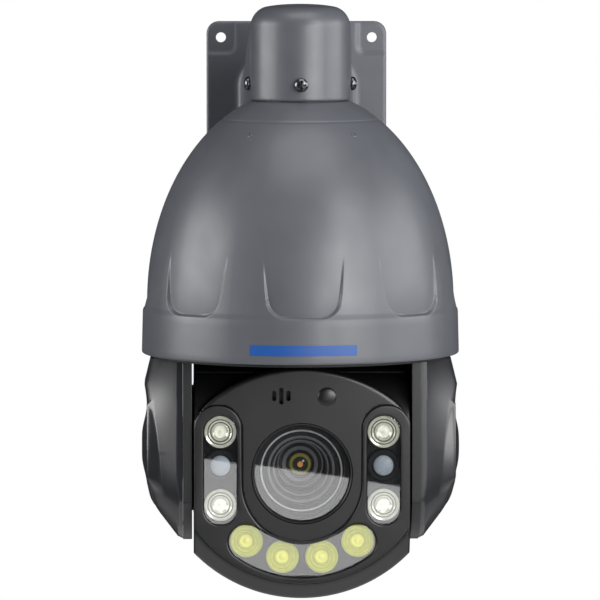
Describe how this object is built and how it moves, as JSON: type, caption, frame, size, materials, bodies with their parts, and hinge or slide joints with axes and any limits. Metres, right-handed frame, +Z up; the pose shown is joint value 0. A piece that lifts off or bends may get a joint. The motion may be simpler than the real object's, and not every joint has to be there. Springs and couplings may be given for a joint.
{
  "type": "ptz camera",
  "caption": "Wall-mounted speed dome camera: bracket and bell housing above a panning yoke that holds a tilting camera head with lens, infrared and white lamps.",
  "frame": {"origin": "centre of the back plate's wall face, behind the bracket", "axes": "+Z up, +Y into the wall, so the camera looks along -Y at rest, +X to the right of someone facing the camera"},
  "size_m": [0.184, 0.208, 0.3407],
  "materials": {
    "painted_casting": "satin dark grey powder coat",
    "yoke_plastic": "fine matte",
    "head_plastic": "satin black",
    "rubber_seal": "matte",
    "screw_steel": "zinc plated",
    "bearing_steel": "ground",
    "cast_aluminium": "as cast",
    "brass": "turned",
    "circuit_board": "solder mask",
    "clear_glass": "polished",
    "lamp_lens": "moulded clear",
    "lamp_phosphor": "clear lens over yellow phosphor",
    "frosted_cap": "frosted translucent",
    "lens_barrel": "anodised black rings round coated glass"
  },
  "bodies": {
    "housing": {"wall_bracket": "painted_casting", "dome_shell": "painted_casting", "neck_seal": "rubber_seal", "neck_screw_left": "screw_steel", "neck_screw_front": "screw_steel", "neck_screw_right": "screw_steel", "chassis_plate": "cast_aluminium", "chassis_screw_1": "screw_steel", "chassis_screw_2": "screw_steel", "chassis_screw_3": "screw_steel", "pan_bearing_outer_race": "bearing_steel", "pan_motor": "yoke_plastic", "pan_belt": "rubber_seal", "main_board": "circuit_board", "slip_ring_stator": "yoke_plastic"},
    "pan_motor_rotor": {"pan_motor_pulley": "brass"},
    "yoke": {"turntable": "head_plastic", "pan_shaft": "bearing_steel", "pan_pulley": "head_plastic", "pan_bearing_inner_race": "bearing_steel", "slip_ring_rotor": "yoke_plastic", "tilt_motor": "yoke_plastic", "tilt_belt": "rubber_seal", "arm_frame_left": "yoke_plastic", "arm_frame_right": "yoke_plastic", "arm_cover_left": "yoke_plastic", "arm_cover_right": "yoke_plastic", "hub_bearing_left": "bearing_steel", "hub_bearing_right": "bearing_steel", "arm_bolt_left": "screw_steel", "arm_bolt_right": "screw_steel", "cover_screw_left": "screw_steel", "cover_screw_right": "screw_steel"},
    "tilt_motor_rotor": {"tilt_motor_pulley": "brass"},
    "camera_head": {"head_front_shell": "head_plastic", "head_rear_shell": "head_plastic", "head_seal": "rubber_seal", "lamp_bezel": "head_plastic", "lens_hood": "head_plastic", "lens_window": "clear_glass", "lamp_window_left": "clear_glass", "lamp_window_right": "clear_glass", "lamp_window_lower": "clear_glass", "infrared_led_left_upper": "lamp_lens", "infrared_led_left_lower": "lamp_lens", "infrared_led_right_upper": "lamp_lens", "infrared_led_right_lower": "lamp_lens", "light_sensor_left": "frosted_cap", "light_sensor_right": "frosted_cap", "white_led_1": "lamp_phosphor", "white_led_2": "lamp_phosphor", "white_led_3": "lamp_phosphor", "white_led_4": "lamp_phosphor", "lamp_board": "circuit_board", "zoom_camera_block": "yoke_plastic", "photocell": "yoke_plastic", "trunnion_left": "bearing_steel", "trunnion_right": "bearing_steel", "tilt_pulley": "head_plastic"},
    "zoom_group": {"zoom_lens_group": "lens_barrel"}
  },
  "joints": [
    {"name": "pan", "type": "hinge", "parent": "housing", "child": "yoke", "pos_m": [0, -0.116, 0], "axis": [0, 0, 1], "continuous": true},
    {"name": "pan_motor_spin", "type": "hinge", "parent": "housing", "child": "pan_motor_rotor", "pos_m": [0, -0.068, 0], "axis": [0, 0, 1], "continuous": true},
    {"name": "tilt", "type": "hinge", "parent": "yoke", "child": "camera_head", "pos_m": [0, -0.116, -0.1697], "axis": [1, 0, 0], "range_deg": [0, 90]},
    {"name": "tilt_motor_spin", "type": "hinge", "parent": "yoke", "child": "tilt_motor_rotor", "pos_m": [0.07, -0.116, -0.092], "axis": [1, 0, 0], "range_deg": [0, 264]},
    {"name": "zoom", "type": "slide", "parent": "camera_head", "child": "zoom_group", "axis": [0, -1, 0], "range_m": [0, 0.01]}
  ],
  "couplings": [
    {"joint": "pan_motor_spin", "follows": "pan", "ratio": 3.75},
    {"joint": "tilt_motor_spin", "follows": "tilt", "ratio": 2.9333}
  ]
}
